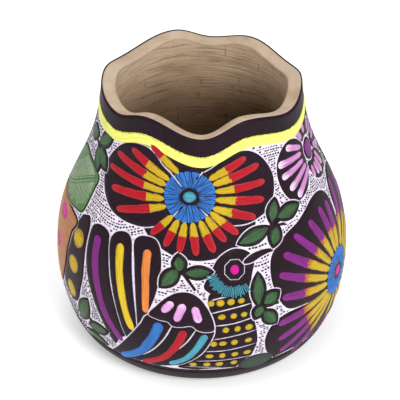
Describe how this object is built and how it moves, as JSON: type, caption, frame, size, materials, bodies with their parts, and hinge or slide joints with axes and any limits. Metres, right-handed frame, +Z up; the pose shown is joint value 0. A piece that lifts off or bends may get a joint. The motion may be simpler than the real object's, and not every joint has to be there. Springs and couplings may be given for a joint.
{
  "type": "painted vase",
  "caption": "Hollow pear-shaped clay pot with a wavy lobed mouth and a flat foot, its outside painted and scratched with flowers, leaves and a bird.",
  "frame": {"origin": "centre of the flat base, on the surface that the pot stands on", "axes": "+Z up along the pot's turning axis, -Y towards the front flower and the bird, +X to the right as seen from the front"},
  "size_m": [0.1304, 0.1304, 0.1235],
  "materials": {
    "blue_paint": "brushed paint, satin, streaky along the stroke",
    "golden_yellow_paint": "brushed paint, satin, streaky along the stroke",
    "turquoise_paint": "brushed paint, satin, streaky along the stroke",
    "magenta_paint": "brushed paint, satin, streaky along the stroke",
    "orange_paint": "brushed paint, satin, streaky along the stroke",
    "purple_paint": "brushed paint, satin, streaky along the stroke",
    "red_paint": "brushed paint, satin, streaky along the stroke",
    "pink_paint": "brushed paint, satin, streaky along the stroke",
    "bare_clay": "bare low-fired clay, dry and matt, turned with fine level combing inside",
    "dark_slip": "plum-black satin slip with fine brush streaks",
    "leaf_green_paint": "brushed paint, satin, streaky along the stroke",
    "dark_green_paint": "brushed paint, satin, streaky along the stroke",
    "white_slip": "matt lilac-white slip that shows in the scratched lines",
    "bright_yellow_paint": "fluorescent yellow brushed paint, streaky, matt"
  },
  "bodies": {
    "root": {"back_bird_blue_wing_feather": "blue_paint", "back_bird_breast_spots": "golden_yellow_paint", "back_bird_collar": "turquoise_paint", "back_bird_eye": "magenta_paint", "back_bird_orange_tail_feather": "orange_paint", "back_bird_purple_tail_feather": "purple_paint", "back_bird_red_wing_feather": "red_paint", "back_bird_shoulder_strokes": "pink_paint", "back_bird_turquoise_wing_feather": "turquoise_paint", "back_bird_yellow_tail_feather": "golden_yellow_paint", "back_flower_disc": "blue_paint", "back_flower_eye": "turquoise_paint", "back_flower_inner_strokes": "golden_yellow_paint", "back_flower_outer_strokes": "orange_paint", "blossom_patches": "magenta_paint", "clay_body": "bare_clay", "dark_topcoat": "dark_slip", "fan_leaf": "leaf_green_paint", "front_bird_blue_wing_feather": "blue_paint", "front_bird_breast_spots": "golden_yellow_paint", "front_bird_collar": "turquoise_paint", "front_bird_eye": "magenta_paint", "front_bird_orange_tail_feather": "orange_paint", "front_bird_purple_tail_feather": "purple_paint", "front_bird_red_wing_feather": "red_paint", "front_bird_shoulder_strokes": "pink_paint", "front_bird_turquoise_wing_feather": "turquoise_paint", "front_bird_yellow_tail_feather": "golden_yellow_paint", "front_flower_disc": "blue_paint", "front_flower_eye": "turquoise_paint", "front_flower_inner_strokes": "golden_yellow_paint", "front_flower_outer_strokes": "red_paint", "ground_patches": "dark_green_paint", "orange_blossom": "orange_paint", "pink_flower_eye": "purple_paint", "pink_flower_strokes": "pink_paint", "side_flower_disc": "blue_paint", "side_flower_eye": "magenta_paint", "side_flower_inner_strokes": "golden_yellow_paint", "side_flower_outer_strokes": "purple_paint", "small_leaves": "leaf_green_paint", "spotted_feather_spots": "golden_yellow_paint", "white_undercoat": "white_slip", "yellow_rim_band": "bright_yellow_paint"}
  },
  "joints": []
}
